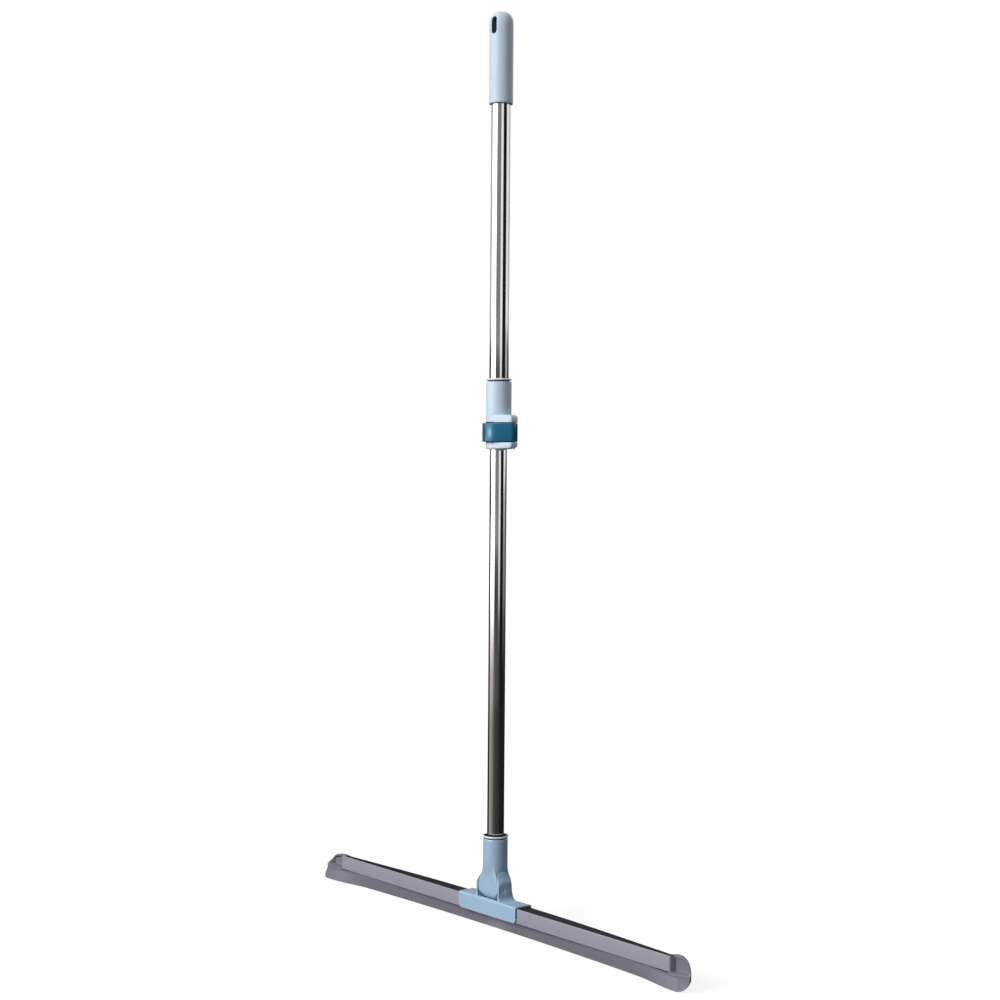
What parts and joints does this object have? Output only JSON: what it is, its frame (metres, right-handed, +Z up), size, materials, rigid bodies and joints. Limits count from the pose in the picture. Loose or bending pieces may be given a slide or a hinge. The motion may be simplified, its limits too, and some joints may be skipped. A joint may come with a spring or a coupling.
{
  "type": "floor squeegee",
  "caption": "Wide floor squeegee: a bowed rubber blade in a rail, a tilting bracket, and a telescopic steel pole with a flip lock and a grip with a hang slot.",
  "frame": {"origin": "middle of the wiping edge, on the floor under the pole's axis", "axes": "+X along the blade, -Y towards the flat front of the rail, +Z up along the pole"},
  "size_m": [0.732, 0.0377, 1.1845],
  "materials": {
    "pale_plastic": "moulded pale blue-grey plastic, satin",
    "inner_plastic": "plain off-white bearing plastic",
    "pole_steel": "polished stainless tube",
    "ring_plastic": "glossy near-white plastic",
    "fastener_steel": "plated steel",
    "lever_plastic": "glossy teal plastic",
    "shoe_rubber": "hard black rubber",
    "blue_plastic": "moulded light blue plastic, satin",
    "rail_plastic": "moulded lavender-grey plastic",
    "stiffener_plastic": "black plastic with long grooves",
    "blade_rubber": "matt grey rubber"
  },
  "bodies": {
    "upper_pole": {"grip": "pale_plastic", "tube_plug": "inner_plastic", "upper_tube": "pole_steel", "guide_bush": "inner_plastic", "collar_body": "pale_plastic", "collar_ring": "ring_plastic", "collar_screw": "fastener_steel", "hinge_pin": "fastener_steel"},
    "lever": {"flip_lever": "lever_plastic"},
    "shoe": {"brake_shoe": "shoe_rubber"},
    "guide": {"guide_plug": "inner_plastic"},
    "lower_pole": {"lower_tube": "pole_steel", "neck_ring": "ring_plastic", "neck_socket": "blue_plastic", "neck_screw": "fastener_steel"},
    "head": {"pivot_pin": "blue_plastic", "pivot_nut": "fastener_steel", "pivot_washers": "inner_plastic", "head_bracket": "blue_plastic", "bracket_screws": "fastener_steel", "rail": "rail_plastic", "rail_stiffener": "stiffener_plastic", "blade": "blade_rubber"}
  },
  "joints": [
    {"name": "lever_flip", "type": "hinge", "parent": "upper_pole", "child": "lever", "pos_m": [0.02217, 0.00657, 0.644], "axis": [0, 0, 1], "range_deg": [0, 110]},
    {"name": "shoe_press", "type": "slide", "parent": "upper_pole", "child": "shoe", "axis": [0.9588, 0.2842, 0], "range_m": [0, 0.00024]},
    {"name": "pole_slide", "type": "slide", "parent": "upper_pole", "child": "guide", "axis": [0, 0, 1], "range_m": [0, 0.42]},
    {"name": "pole_twist", "type": "hinge", "parent": "guide", "child": "lower_pole", "pos_m": [0, 0, 0.7], "axis": [0, 0, 1], "continuous": true},
    {"name": "head_tilt", "type": "hinge", "parent": "lower_pole", "child": "head", "pos_m": [0, 0, 0.0495], "axis": [1, 0, 0], "range_deg": [-75, 75]}
  ],
  "couplings": [
    {"joint": "shoe_press", "follows": "lever_flip", "m_per_rad": 0.00012}
  ]
}
